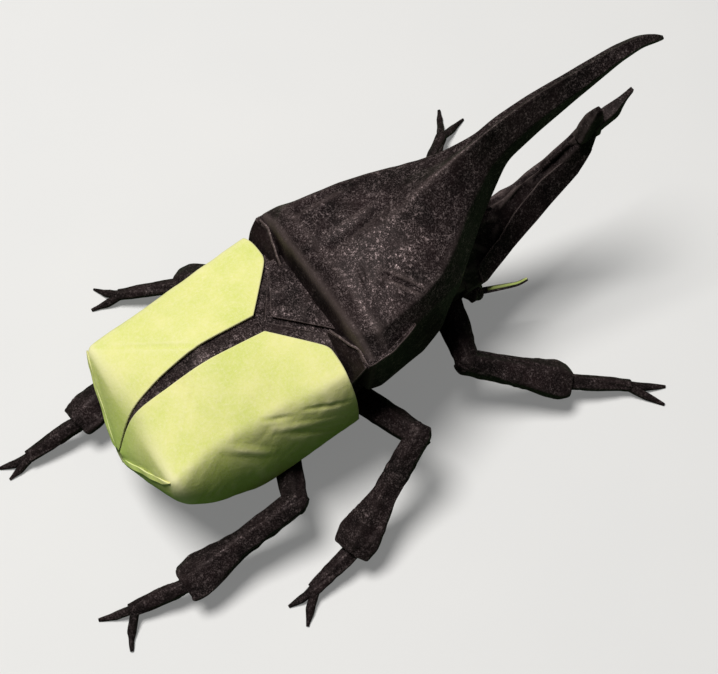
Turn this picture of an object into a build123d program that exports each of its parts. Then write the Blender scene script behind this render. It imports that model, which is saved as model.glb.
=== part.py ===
from build123d import *
import os

# A rhinoceros beetle folded from one sheet of two-coloured paper.
# It faces -Y with its right side on -X, and it stands on its claws at z = 0.
# The body is laid out about x = 0, and the finished model is centred on its box.

# Paper
wall = 0.9                # folded layers at a free edge
tuck = 3.0                # how far a fold runs into the one that carries it

# Wing cases: a roof with a ridge on each side, closed by a sloping rear panel
wing_front = -0.6         # y of the front edge at the shoulder
wing_length = 47.2        # front edge to the rear corners
wing_crown = 26.6         # front edge to the highest point of the back
tail_reach = 4.8          # rear corners to the tail
shoulder_half = 24.0
shoulder_z = 44.0
corner_half = 21.1
corner_z = 38.2
back_front_z = 45.4       # height along the middle of the back
back_crown_z = 47.4
back_bend_z = 43.2
back_corner_z = 37.2
tail_z = 22.5
tail_tip_z = 16.0
tail_half = 3.0
flank_lean = 0.19         # forward slope of the flank's front edge
back_puff = 0.9           # swell of the back half way to the ridge
flank_puff = 0.8          # swell of the flank half way to its hem
hem_front = (25.0, 24.3)  # half width and height of the flank's lower edge
hem_low = (25.0, 18.5)
hem_bend = (24.3, 20.8)
hem_rear = (22.0, 27.7)
wing_hem_deep = 11.0      # how far up the flank hangs free
rear_hem_deep = 5.0       # the same at the rear corners

# Gap between the wing cases, with the notch at its front end
notch_half = 15.4
notch_deep = 10.8         # front edge to the inner corners of the wing cases
strip_half = 2.6
strip_bend_half = 2.0
strip_tail_half = 0.35

# Lips folded along the rear panel's lower edges
lip_wide = 1.9
lip_lean = -63.0          # degrees from level, pointing backwards
lip_thick = 0.8

# Pleated plate in the notch, with a second layer stepped back from the first
plate_thick = 0.7
plate_apex = 9.4          # reach of its point behind the front edge
plate_half = 13.6
plate_fore = 8.0          # reach under the hood
pleat_step = 1.6

# Hood over the thorax, from its rear hem to the root of its horn
# Each ring: reach from the rear hem, crest z, (half width, z) of shoulder, edge and hem
waist = 2.4               # wing cases to the hood's rear hem
hood_rings = [
    (0.0, 46.6, (7.0, 46.3), (11.0, 45.6), (11.0, 36.0)),
    (3.0, 50.6, (16.0, 50.0), (25.0, 48.2), (23.0, 31.0)),
    (7.5, 53.6, (18.4, 52.8), (24.4, 48.6), (22.4, 27.5)),
    (21.0, 59.4, (17.4, 56.6), (21.0, 48.8), (19.8, 26.5)),
    (27.0, 63.2, (15.0, 58.6), (19.2, 48.6), (18.4, 30.5)),
    (33.0, 67.2, (11.4, 61.4), (17.0, 48.0), (16.8, 46.0)),
    (41.0, 71.0, (7.0, 65.0), (10.8, 50.0), (10.4, 48.6)),
    (49.5, 74.4, (4.0, 70.4), (4.4, 52.6), (3.8, 51.2)),
]
hood_hem_deep = 6.0       # how far up the hood's hem hangs free
neck_hem_deep = 11.6      # how far up the trunk is let into the hood
underfold = 0.5           # slope of the folded-in underside

# Horn of the hood: its rings go on from the last one to a drooping tip
upper_horn_rings = [
    (54.5, 76.2, (3.6, 72.8), (3.2, 63.8), (2.4, 62.6)),
    (63.0, 78.4, (3.2, 75.4), (2.8, 67.6), (2.0, 66.6)),
    (75.0, 79.4, (2.7, 76.8), (2.4, 72.4), (1.6, 71.6)),
    (87.0, 80.6, (2.2, 78.6), (1.9, 76.6), (1.2, 76.0)),
    (94.0, 80.0, (1.7, 78.4), (1.4, 77.2), (0.9, 76.8)),
    (98.5, 78.0, (1.3, 76.8), (1.1, 75.8), (0.7, 75.4)),
    (101.5, 75.6, (0.6, 75.2), (0.5, 74.6), (0.3, 74.4)),
]

# Collar at the hood's rear corners: a rim along the hem and an ear down to the shoulder
ear_drop = 3.5            # shoulder to the ear's low corner
rim_wide = 1.6
rim_thick = 0.8
rim_lean = 37.0           # degrees from level, pointing backwards

# Trunk behind the hems
trunk_inset = 5.6         # hem to the trunk's side
trunk_roof = 3.0          # how far the trunk runs up into the folds above the hems
keel_half = 11.0
keel_rear_z = 26.0
keel_mid_z = 13.0
keel_front_z = 12.0
keel_neck_z = 15.0
chine_rise = 5.0          # height of the slanted panels beside the keel
chine_lean = 1.4

# Head and its horn: reach from the hood's rear hem, (half width, z) of top, side and underside
tooth_reach = 85.0
tooth_root_z = 54.4
horn_root = 15.0          # distances back from the tooth to the rings that carry it
horn_neck = 6.0
horn_step = 1.4
tip_bend = 6.0            # distances on from the tooth to the horn's tip
tip_long = 11.0
head_rings = [
    (29.0, (8.0, 50.0), (13.4, 38.0), (8.0, 19.0)),
    (39.0, (6.5, 47.0), (12.6, 33.0), (8.0, 18.0)),
    (47.0, (5.4, 40.5), (10.2, 29.0), (6.0, 20.5)),
    (57.0, (4.0, 38.0), (6.8, 31.0), (4.6, 28.5)),
    (tooth_reach - horn_root, (3.0, 43.4), (4.3, 37.4), (3.0, 35.6)),
    (tooth_reach - horn_neck, (2.6, 49.4), (3.4, 42.2), (2.4, 40.4)),
    (tooth_reach - horn_step, (2.3, 53.4), (2.9, 47.4), (2.0, 46.2)),
    (tooth_reach, (2.0, tooth_root_z), (2.0, 51.6), (1.4, 50.6)),
    (tooth_reach + tip_bend, (1.5, 56.8), (1.6, 53.8), (1.1, 52.8)),
    (tooth_reach + tip_long, (0.6, 60.2), (0.6, 59.2), (0.4, 58.8)),
]
tooth_long = 4.6
tooth_high = 2.4
tooth_thick = 2.2
cheek_rings = slice(1, 6)  # rings that carry the folded layer on each side
cheek_rise = 1.4
cheek_thick = 0.8
brow_rings = slice(1, 7)   # rings where the top layer overhangs the sides
brow_over = 0.7
brow_thick = 0.9

# Eyes on the lower sides of the head, with a feeler out of each
eye_reach = 44.0
eye_down = 0.69           # share of the way from the side fold to the underside
eye_proud = 1.5           # centre of the eye outside the face
eye_radius = 3.4
feeler_out = 5.0
feeler_forward = 10.5
feeler_rise = 1.7
feeler_curl = 1.8         # turned-up end
feeler_wide = 2.0
feeler_thick = 0.8

# Legs: hips are set along the trunk, the front pair under the head, and the joints below are bent by hand
hip_z = {"front": 22.5, "middle": 16.0, "hind": 13.0}
hip_half = {"front": 6.0, "middle": 13.0, "hind": 13.0}
hip_reach = {"front": -39.4, "middle": -5.4, "hind": 14.6}
legs = [
    dict(pair="front", side=-1, knee=(-24.6, -34.8, 20.0), ankle=(-38.6, -58.6, 7.0),
         fork=(-47.2, -73.5, 3.2), claws=((-51.8, -82.6), (-55.9, -78.9))),
    dict(pair="middle", side=-1, knee=(-36.8, -11.0, 25.4), ankle=(-47.1, 15.1, 7.0),
         fork=(-49.0, 27.4, 3.2), claws=((-48.5, 34.2), (-55.3, 32.9))),
    dict(pair="hind", side=-1, knee=(-32.6, 21.6, 18.0), ankle=(-32.4, 53.6, 7.0),
         fork=(-29.3, 67.4, 3.2), claws=((-26.1, 74.8), (-37.4, 71.7))),
    dict(pair="front", side=1, knee=(24.0, -42.0, 19.0), ankle=(38.3, -66.7, 7.0),
         fork=(49.8, -79.9, 3.2), claws=((53.1, -90.3), (60.0, -86.2))),
    dict(pair="middle", side=1, knee=(28.6, -6.0, 20.0), ankle=(43.9, 13.2, 7.0),
         fork=(52.5, 28.0, 3.2), claws=((53.8, 36.1), (59.7, 32.5))),
    dict(pair="hind", side=1, knee=(27.0, 26.0, 17.0), ankle=(20.9, 56.0, 7.0),
         fork=(21.3, 70.4, 3.2), claws=((19.6, 77.2), (23.8, 78.0))),
]
femur_wide = {"front": 9.2, "middle": 7.6, "hind": 7.4}
femur_high = 6.8
knee_wide = 6.4
knee_high = 6.8
shin_wide = 6.6
shin_high = 6.4
cuff_start = {"front": 0.3, "middle": 0.5, "hind": 0.5}  # share of the shin where its cuff flares
cuff_wide = 11.2
cuff_high = 8.6
tarsus_wide = 4.6
tarsus_high = 3.8
fork_wide = 3.8
fork_high = 2.8
claw_wide = 2.6
claw_high = 2.4
claw_bend = 0.5           # share of the claw where it comes down to the table
claw_tip_wide = 0.9
claw_tip_high = 1.0
claw_press = 0.2          # depth that the table flattens off a claw

wing_corner = wing_front + wing_length
wing_peak = wing_front + wing_crown
wing_bend = (wing_peak + wing_corner) / 2
wing_tail = wing_corner + tail_reach
notch_corner = wing_front + notch_deep
hood_rear = wing_front - waist
wing_hem_depths = [wing_hem_deep, wing_hem_deep, wing_hem_deep, rear_hem_deep]


def ridge(y):
    # point on the fold between the top and the flank of a wing case
    share = (y - wing_front) / wing_length
    x = shoulder_half + share * (corner_half - shoulder_half)
    return (x, shoulder_z + share * (corner_z - shoulder_z))


def wing_half(y, back_z, hem):
    # half profile of the wing cases, swollen a little between its folds
    ridge_x, ridge_z = ridge(y)
    hem_x, hem_z = hem
    swell = (ridge_x / 2, (back_z + ridge_z) / 2 + back_puff)
    side = ((ridge_x + hem_x) / 2 + flank_puff, (ridge_z + hem_z) / 2)
    return (y, [(0, back_z), swell, (ridge_x, ridge_z), side, hem])


wing_profiles = [
    wing_half(wing_front, back_front_z, hem_front),
    wing_half(wing_peak, back_crown_z, hem_low),
    wing_half(wing_bend, back_bend_z, hem_bend),
    wing_half(wing_corner, back_corner_z, hem_rear),
]
hood_profiles = [(hood_rear - reach, [(0, crest), shoulder, edge, hem])
                 for reach, crest, shoulder, edge, hem in hood_rings]
horn_profiles = [(hood_rear - reach, [(0, crest), shoulder, edge, hem])
                 for reach, crest, shoulder, edge, hem in upper_horn_rings]
head_profiles = [(hood_rear - reach, [top, side, under]) for reach, top, side, under in head_rings]


def folded(points):
    return Wire.make_polygon([Vector(*point) for point in points], close=True)


def ring(y, half, lean=0.0):
    # closed outline across the body from a half profile that runs from the top down
    left = [(-x, z) for x, z in reversed(half) if x > 0]
    top_z = half[0][1]
    return folded([(x, y + lean * (z - top_z), z) for x, z in half + left])


def hull(wires):
    return Solid.make_loft(wires, ruled=True)


def flap(points, thick):
    # flat piece of folded paper through points that lie in one plane
    return extrude(Face(folded(points)), amount=thick / 2, both=True)


def side_at(half, z):
    # half width of a profile at a height, read along its folds
    for (upper_x, upper_z), (lower_x, lower_z) in zip(half, half[1:]):
        if lower_z <= z <= upper_z and upper_z > lower_z:
            share = (upper_z - z) / (upper_z - lower_z)
            return upper_x + share * (lower_x - upper_x)
    return half[-1][0]


def hem_hollow(profiles, depths):
    # the space behind a hanging hem: the hull drawn in by one wall, open below
    wires = []
    for (y, half), deep in zip(profiles, depths):
        hem_x, hem_z = half[-1]
        roof_z = hem_z + deep
        wires.append(ring(y, [(side_at(half, roof_z) - wall, roof_z), (hem_x - wall, hem_z - wall)]))
    return hull(wires)


def wing_cases():
    front, *others = wing_profiles
    tail_side = (tail_half, (tail_z + tail_tip_z) / 2)
    tail_low = (tail_half - wall, tail_tip_z)
    tail = ring(wing_tail, [(0, tail_z), (tail_half / 2, tail_z), (tail_half, tail_z - wall), tail_side, tail_low])
    roof = hull([ring(*front, lean=flank_lean)] + [ring(*profile) for profile in others] + [tail])

    # the gap between the two cases is one wall deep
    sunk = [ring(y, [(x, z - wall) for x, z in half[:3]] + half[3:]) for y, half in wing_profiles]
    sunk_tail = ring(wing_tail, [(0, tail_z - 2 * wall), (tail_half / 2, tail_z - 2 * wall),
                                 (tail_half, tail_z - 3 * wall), tail_side, tail_low])
    half_gap = [(notch_half, wing_front), (strip_half, notch_corner), (strip_bend_half, wing_bend),
                (strip_tail_half, wing_corner), (strip_tail_half, wing_tail + tuck)]
    left_gap = [(-x, y) for x, y in reversed(half_gap)]
    fore = [(-notch_half, wing_front - notch_deep), (notch_half, wing_front - notch_deep)]
    gap = extrude(make_face(Polyline(*half_gap, *left_gap, *fore, close=True)), amount=2 * back_crown_z)
    return [roof - (gap - hull(sunk + [sunk_tail])) - hem_hollow(wing_profiles, wing_hem_depths)]


def rear_lips():
    lips = []
    drop = Vector(0, lip_wide, 0).rotate(Axis.X, lip_lean)
    for side in (1, -1):
        corner = Vector(side * corner_half, wing_corner, corner_z)
        tail = Vector(side * tail_half, wing_tail, tail_z - wall)
        lips.append(flap([corner, tail, tail + drop, corner + drop], lip_thick))
    return lips


def pleated_plate():
    layers = []
    for layer in range(2):
        shift = layer * pleat_step
        outline = [(0, wing_front + plate_apex - shift), (-plate_half, wing_front - plate_fore / 2 - shift),
                   (-plate_half, wing_front - plate_fore), (plate_half, wing_front - plate_fore),
                   (plate_half, wing_front)]
        floor = back_front_z - wall + (layer / 2 - 1) * plate_thick
        face = Pos(0, 0, floor) * make_face(Polyline(*outline, close=True))
        layers.append(extrude(face, amount=1.5 * plate_thick))
    return layers


def collar():
    folds = []
    (inner_y, inner), (corner_y, corner) = hood_profiles[:2]
    rise = Vector(0, rim_wide, 0).rotate(Axis.X, rim_lean)
    for side in (1, -1):
        near = Vector(side * inner[2][0], inner_y + wall, inner[2][1])
        far = Vector(side * corner[2][0], corner_y + wall, corner[2][1] - wall)
        low = Vector(side * shoulder_half, wing_front - wall, shoulder_z - ear_drop)
        folds.append(flap([near, far, low], wall))
        folds.append(flap([near, far, far + rise, near + rise], rim_thick))
    return folds


def hood_and_horn():
    wires = []
    for y, half in hood_profiles + horn_profiles:
        hem_x, hem_z = half[-1]
        wires.append(ring(y, half + [(0, hem_z + underfold * hem_x)]))
    hems = hood_profiles[1:]
    return [hull(wires) - hem_hollow(hems, [hood_hem_deep] * len(hems))]


def trunk():
    stations = [
        (wing_corner - trunk_inset / 2, hem_rear, rear_hem_deep, keel_rear_z),
        (wing_peak, hem_low, wing_hem_deep, keel_mid_z),
        (wing_front, hem_front, wing_hem_deep, keel_front_z),
    ]
    neck = [keel_front_z, (keel_front_z + keel_neck_z) / 2, keel_neck_z]
    stations += [(y, half[-1], neck_hem_deep, keel_z)
                 for (y, half), keel_z in zip(hood_profiles[2:5], neck)]
    wires = []
    for y, (hem_x, hem_z), hem_deep, keel_z in stations:
        side_x = hem_x - trunk_inset
        keel_x = min(keel_half, side_x - chine_lean)
        wires.append(ring(y, [(side_x, hem_z + hem_deep + trunk_roof),
                              (side_x - chine_lean, keel_z + chine_rise), (keel_x - chine_lean, keel_z)]))
    return [hull(wires)]


def head_and_horn():
    folds = [hull([ring(*profile) for profile in head_profiles])]
    tooth_y = hood_rear - tooth_reach
    buried_z = tooth_root_z - tuck
    tooth = [(0, tooth_y, tooth_root_z + tooth_high), (0, tooth_y + tooth_long, buried_z),
             (0, tooth_y - tooth_long / 4, buried_z)]
    folds.append(flap(tooth, tooth_thick))
    folds.append(hull([ring(y, [(top_x + brow_over, top_z), (top_x + brow_over / 2, top_z - brow_thick)])
                       for y, [(top_x, top_z), *_] in head_profiles[brow_rings]]))
    for side in (1, -1):
        layer = [folded([(side * (side_x - cheek_thick), y, side_z + cheek_rise),
                         (side * (side_x + cheek_thick / 2), y, side_z + cheek_rise),
                         (side * (under_x + cheek_thick), y, under_z),
                         (side * (under_x - cheek_thick), y, under_z)])
                 for y, [_, (side_x, side_z), (under_x, under_z)] in head_profiles[cheek_rings]]
        folds.append(hull(layer))
    return folds


def head_face(reach, down):
    # point on the lower side face of the head, part of the way from the side fold to the underside
    for near, far in zip(head_rings, head_rings[1:]):
        if near[0] <= reach <= far[0]:
            share = (reach - near[0]) / (far[0] - near[0])
            side, under = (Vector(*a) + (Vector(*b) - Vector(*a)) * share for a, b in zip(near[2:], far[2:]))
            return side + (under - side) * down


def eyes_and_feelers():
    folds = []
    seat = head_face(eye_reach, eye_down)
    for side in (1, -1):
        root = Vector(side * (seat.X + eye_proud), hood_rear - eye_reach, seat.Y)
        folds.append(Pos(root) * Sphere(eye_radius))
        bend = root + Vector(side * feeler_out, -feeler_forward, feeler_rise)
        tip = bend + Vector(side * feeler_curl / 2, -feeler_curl, feeler_curl)
        for start, end in ((root, bend), (bend, tip)):
            across = (end - start).cross(Vector(0, 0, 1)).normalized() * feeler_wide / 2
            folds.append(flap([start - across, end - across, end + across, start + across], feeler_thick))
    return folds


def limb(stations):
    # faceted tube through stations of centre, width and height, with a ridge along its top
    wires = []
    for index, (centre, wide, high) in enumerate(stations):
        before = stations[max(index - 1, 0)][0]
        after = stations[min(index + 1, len(stations) - 1)][0]
        along = (after - before).normalized()
        plane = Plane(centre, x_dir=Vector(0, 0, 1).cross(along), z_dir=along)
        outline = [(0, high / 2), (wide / 2, high / 8), (wide / 3, -high / 2),
                   (-wide / 3, -high / 2), (-wide / 2, high / 8)]
        wires.append(folded([plane.from_local_coords(Vector(x, y, 0)) for x, y in outline]))
    return hull(wires)


def leg(pair, side, knee, ankle, fork, claws):
    hip = Vector(side * hip_half[pair], wing_front + hip_reach[pair], hip_z[pair])
    knee, ankle, fork = Vector(*knee), Vector(*ankle), Vector(*fork)
    shin = ankle - knee
    thigh_way = (knee - hip).normalized()
    foot_way = (fork - ankle).normalized()
    thigh_wide, flare = femur_wide[pair], cuff_start[pair]
    folds = [limb([(hip, thigh_wide, femur_high),
                   ((hip + knee) / 2, thigh_wide, femur_high),
                   (knee + thigh_way * knee_wide / 3, knee_wide, knee_high)])]
    folds.append(limb([(knee - shin.normalized() * knee_high / 3, knee_wide, knee_high),
                       (knee + shin * flare, shin_wide, shin_high),
                       (knee + shin * (1 + flare) / 2, cuff_wide, cuff_high),
                       (ankle, cuff_wide, cuff_high)]))
    folds.append(limb([(ankle - foot_way * tuck, tarsus_wide, tarsus_high),
                       ((ankle + fork) / 2, tarsus_wide, tarsus_high),
                       (fork, fork_wide, fork_high)]))
    for x, y in claws:
        tip = Vector(x, y, claw_tip_high / 2 - claw_press)
        bend = fork + (tip - fork) * claw_bend
        bend = Vector(bend.X, bend.Y, claw_high / 2 - claw_press)
        folds.append(limb([(fork - foot_way * tuck / 2, claw_wide, claw_high),
                           (bend, claw_wide, claw_high),
                           (tip, claw_tip_wide, claw_tip_high)]))
    return folds


folds = wing_cases() + rear_lips() + pleated_plate() + collar() + hood_and_horn()
folds += trunk() + head_and_horn() + eyes_and_feelers()
for joints in legs:
    folds += leg(**joints)
beetle = folds[0].fuse(*folds[1:])

# the table flattens the underside of the claws
reach = beetle.bounding_box().size
table = Pos(0, 0, -reach.Z / 2) * Box(4 * reach.X, 4 * reach.Y, reach.Z)
beetle = beetle - table
box = beetle.bounding_box()
beetle = Pos(-box.center().X, -box.center().Y, 0) * beetle

os.makedirs("parts", exist_ok=True)
export_step(beetle, "parts/folded_beetle.step")
print(len(beetle.solids()), "solid,", box.size)
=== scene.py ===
import bpy
import numpy as np
from mathutils import Matrix, Vector


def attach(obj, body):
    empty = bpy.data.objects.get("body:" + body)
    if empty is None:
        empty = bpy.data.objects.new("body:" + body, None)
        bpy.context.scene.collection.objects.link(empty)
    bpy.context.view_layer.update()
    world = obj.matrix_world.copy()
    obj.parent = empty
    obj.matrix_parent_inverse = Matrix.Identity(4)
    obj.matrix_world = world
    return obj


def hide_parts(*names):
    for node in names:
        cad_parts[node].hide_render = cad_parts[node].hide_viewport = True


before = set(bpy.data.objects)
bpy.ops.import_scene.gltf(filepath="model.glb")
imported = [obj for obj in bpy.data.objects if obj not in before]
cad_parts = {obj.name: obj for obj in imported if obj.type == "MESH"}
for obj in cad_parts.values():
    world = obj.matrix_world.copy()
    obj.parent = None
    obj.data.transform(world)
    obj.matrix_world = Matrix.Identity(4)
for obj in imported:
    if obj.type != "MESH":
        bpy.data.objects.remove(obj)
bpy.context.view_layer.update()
node = "folded_beetle"
bodyMiddle = np.array((-2.0486, 13.1695, 0.0))  # mm, from the body's own layout to the shared frame
sideName = {1: "left", -1: "right"}
print("frame loaded")


# share of the way from start to end, held between 0 and 1
def progress(value, start, end):
    return np.clip((value - start) / (end - start), 0, 1)


# the row before and the row after a place, mixed by the share of the way between them
def between(rows, knots, at):
    rows, knots, at = np.asarray(rows, float), np.asarray(knots, float), np.asarray(at, float)
    low = np.clip(np.searchsorted(knots, at, side="right") - 1, 0, len(knots) - 2)
    share = progress(at, knots[low], knots[low + 1])
    share = share.reshape(share.shape + (1,) * (rows.ndim - 1))
    return rows[low] * (1 - share) + rows[low + 1] * share


# each pass moves a point to half of itself plus a quarter of each neighbour along one axis
def soften(points, passes, axis, closed=False):
    points = np.moveaxis(np.array(points, float), axis, 0)
    for _ in range(passes):
        if closed:
            before, after = np.roll(points, 1, 0), np.roll(points, -1, 0)
        else:
            before = np.concatenate((2 * points[:1] - points[1:2], points[:-1]))
            after = np.concatenate((points[1:], 2 * points[-1:] - points[-2:-1]))
        points = points / 2 + (before + after) / 4
    return np.moveaxis(points, 0, axis)


# unit normal: the step to the next column crossed with the step to the next row
def facing(points, closed):
    if closed:
        across = np.roll(points, -1, 1) - np.roll(points, 1, 1)
    else:
        across = np.gradient(points, axis=1)
    normal = np.cross(across, np.gradient(points, axis=0))
    return normal / np.maximum(np.linalg.norm(normal, axis=2, keepdims=True), 1e-9)


# Crumpling: how many folds, how far and how fast they bend, the spread of their lengths, how they fade
crumpling = dict(folds=7, bend=0.22, bendRate=3.1, lengths=(0.7, 1.9), fadeRate=1.9, fadeLevel=0.35, phase=6)


# straight creases: triangle waves in random directions, faded in and out by slow sine waves
def crumple(points, amount, size, seed):
    dice = np.random.default_rng(seed)
    height = np.zeros(points.shape[:-1])
    phase = dice.uniform(0, crumpling["phase"], 3)
    bent = np.sin(points[..., [1, 2, 0]] * crumpling["bendRate"] / size + phase)
    warped = points + crumpling["bend"] * size * bent
    for _ in range(crumpling["folds"]):
        way, slow = dice.normal(size=(2, 3))
        length = size * dice.uniform(*crumpling["lengths"])
        wave = warped @ (way / np.linalg.norm(way)) / length + dice.random()
        shift = dice.uniform(0, crumpling["phase"])
        fade = np.sin(points @ (slow / np.linalg.norm(slow)) * crumpling["fadeRate"] / size + shift)
        height += (np.abs(wave % 1 - 0.5) * 2 - 0.5) * np.clip(fade + crumpling["fadeLevel"], 0, 1)
    return amount * height[..., None]


# folds along straight lines: the height falls off evenly with the distance from the line
def creased(points, normal, lines):
    for start, end, depth, width in lines:
        start, way = np.array(start), np.array(end) - np.array(start)
        share = np.clip(((points - start) @ way) / (way @ way), 0, 1)
        gap = np.linalg.norm(points - start - share[..., None] * way, axis=-1)
        fade = np.sin(np.pi * np.clip(share, 0.03, 0.97)) ** 0.4
        points = points + normal * (depth * fade * np.maximum(1 - gap / width, 0))[..., None]
    return points


nearby = 8  # softening passes that a fold has to stand out from


# one paper piece from a grid of points in mm: quads between rows, and a fan on each end if it is capped;
# a fold is marked paler, for wear and a painted highlight, by how far it stands out from its softened
# neighbours, in parts of the depth worn; shine marks how much mica shows, a painted light and shade
def paper(name, points, look, closed=False, caps=False, thick=0.0, outward=1, worn=0.14, shine=1.0):
    rows, columns = points.shape[:2]
    normal = facing(points, closed) * outward
    smooth = soften(soften(points, nearby, 1, closed), nearby, 0)
    ridge = np.clip(((points - smooth) * normal).sum(2) / worn, 0, 1)
    edge = np.zeros((rows, columns))
    if not closed:
        edge[:, [0, -1]] = 1
        edge[[0, -1]] = 1
    index = np.arange(rows * columns).reshape(rows, columns)
    right = np.roll(index, -1, 1) if closed else index[:, 1:]
    left = index if closed else index[:, :-1]
    faces = np.stack((left[:-1], right[:-1], right[1:], left[1:]), -1).reshape(-1, 4)
    if outward < 0:
        faces = faces[:, ::-1]
    faces = faces.tolist()
    places = points.reshape(-1, 3)
    marks = np.stack((ridge.ravel(), edge.ravel(), np.broadcast_to(shine, (rows, columns)).ravel()), 1)
    if caps:
        for row, turn in ((0, outward), (rows - 1, -outward)):
            ring = index[row]
            fan = np.stack((np.roll(ring, -1), ring, np.full(columns, len(places))), 1)
            faces += fan[:, ::turn].tolist()
            places = np.concatenate((places, points[row].mean(0, keepdims=True)))
            marks = np.concatenate((marks, [[0, 0, np.mean(shine)]]))
    mesh = bpy.data.meshes.new(name)
    mesh.from_pydata(((places + bodyMiddle) / 1000).tolist(), [], faces)
    mesh.polygons.foreach_set("use_smooth", np.ones(len(faces), bool))
    for column, mark in enumerate(("ridge", "edge", "shine")):
        layer = mesh.attributes.new(mark, "FLOAT", "POINT")
        layer.data.foreach_set("value", marks[:, column].astype(np.float32))
    mesh.update()
    mesh.materials.append(look)
    piece = bpy.data.objects.new(name, mesh)
    bpy.context.scene.collection.objects.link(piece)
    if thick:
        sheet = piece.modifiers.new("layers", "SOLIDIFY")
        sheet.thickness = thick / 1000
        sheet.offset = -1
    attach(piece, "root")
    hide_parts(node)
    return piece


# shader arithmetic: a socket that adds Math nodes for + and * and makes any other node;
# ramp stretches a value between two levels, mix goes from one colour to another, noise has its size in mm,
# and mark reads what paper() wrote on the points
class Socket:
    def __init__(self, tree, socket):
        self.tree = tree
        self.socket = socket

    def node(self, kind, out=0, settings=(), **inputs):
        made = self.tree.nodes.new(kind)
        for key, value in dict(settings).items():
            setattr(made, key, value)
        for key, value in inputs.items():
            slot = made.inputs[int(key[1:])] if key[1:].isdigit() else made.inputs[key.replace("_", " ")]
            if isinstance(value, Socket):
                self.tree.links.new(value.socket, slot)
            else:
                slot.default_value = value
        return Socket(self.tree, made.outputs[out])

    def math(self, operation, other=0.0):
        return self.node("ShaderNodeMath", settings={"operation": operation}, i0=self, i1=other)

    def __add__(self, other):
        return self.math("ADD", other)

    def __mul__(self, other):
        return self.math("MULTIPLY", other)

    __radd__ = __add__
    __rmul__ = __mul__

    def ramp(self, low, high):
        return self.node("ShaderNodeMapRange", i0=self, i1=low, i2=high, i3=0.0, i4=1.0)

    def mix(self, first, second):
        settings = {"data_type": "RGBA"}
        return self.node("ShaderNodeMix", out=2, settings=settings, i0=self, i6=first, i7=second)

    def noise(self, size, detail=3.0, rough=0.55):
        return self.node("ShaderNodeTexNoise", Vector=self, Scale=1 / size, Detail=detail, Roughness=rough)

    def mark(self, name):
        return self.node("ShaderNodeAttribute", out=2, settings={"attribute_name": name})


# a material with its shader, and the place on the piece times 1000, so in mm
def newMaterial(name):
    material = bpy.data.materials.new(name)
    material.use_nodes = True
    tree = material.node_tree
    shader = tree.nodes["Principled BSDF"]
    place = Socket(tree, tree.nodes.new("ShaderNodeTexCoord").outputs["Object"])
    place = place.node("ShaderNodeVectorMath", settings={"operation": "SCALE"}, i0=place, i3=1000.0)
    return material, shader, place


# links a value to one of the shader's inputs
def feed(shader, name, value):
    value.tree.links.new(value.socket, shader.inputs[name])


# Black side: colours, then each noise as size in mm, detail and roughness, with the levels it is set between
blackSide = dict(
    dark=(0.0045, 0.0036, 0.0036, 1), warm=(0.015, 0.0095, 0.0098, 1), mica=(0.46, 0.36, 0.355, 1),
    # worn: the paler colour on folds and edges, from wear and as a painted highlight
    worn=(0.10, 0.076, 0.072, 1), tint=(1.0, 0.84, 0.82, 1),
    cloud=(8.0, 4.0), cloudLevels=(0.35, 0.68), fibre=(0.6, 5.0, 0.7), lumps=(2.6, 3.0),
    cluster=(3.6, 4.0, 0.65), clusterLevels=(0.36, 0.64), fine=(0.36, 4.0, 0.75), fineLevels=(0.50, 0.76),
    flake=(0.85, 3.0, 0.7), flakeLevels=(0.56, 0.70), fineShare=0.6, flakeShare=0.5, clustered=0.8,
    ridgeWearAndHighlight=0.55, edgeWearAndHighlight=0.7, metal=0.9, rough=0.35, roughSpread=0.08, gloss=0.05,
    fibreHeight=0.5, micaHeight=0.25, lumpHeight=0.8, bump=0.5, bumpDepth=0.0002,
)


# near-black fibres, paler on folds and edges from wear and as a painted highlight, plus fine and coarse mica
# in clusters that mirrors the lamp, more or less of it per piece as painted light and shade
def blackPaper():
    side = blackSide
    material, shader, place = newMaterial("black_paper")
    cloud = place.noise(*side["cloud"]).ramp(*side["cloudLevels"])
    fibre = place.noise(*side["fibre"])
    cluster = place.noise(*side["cluster"]).ramp(*side["clusterLevels"])
    fine = place.noise(*side["fine"]).ramp(*side["fineLevels"])
    flake = place.noise(*side["flake"]).ramp(*side["flakeLevels"])
    mica = fine * side["fineShare"] + flake * side["flakeShare"]
    clustered = cluster * side["clustered"] + (1 - side["clustered"])
    mica = mica * clustered * place.mark("shine")  # more or less mica per piece: a painted light and shade, less where parts lie in shade and more on lit rims
    # paler on folds and free edges, from wear and as a painted highlight
    wearAndHighlight = place.mark("ridge") * side["ridgeWearAndHighlight"] + place.mark("edge") * side["edgeWearAndHighlight"]
    colour = wearAndHighlight.mix(cloud.mix(side["dark"], side["warm"]), side["worn"])
    feed(shader, "Base Color", mica.mix(colour, side["mica"]))
    feed(shader, "Metallic", mica * side["metal"])
    feed(shader, "Roughness", side["rough"] + fibre * side["roughSpread"])
    grain = fibre * side["fibreHeight"] + mica * side["micaHeight"]
    grain = grain + place.noise(*side["lumps"]) * side["lumpHeight"]
    bump = grain.node("ShaderNodeBump", Strength=side["bump"], Distance=side["bumpDepth"], Height=grain)
    feed(shader, "Normal", bump)
    shader.inputs["Specular IOR Level"].default_value = side["gloss"]
    shader.inputs["Specular Tint"].default_value = side["tint"]
    return material
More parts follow.
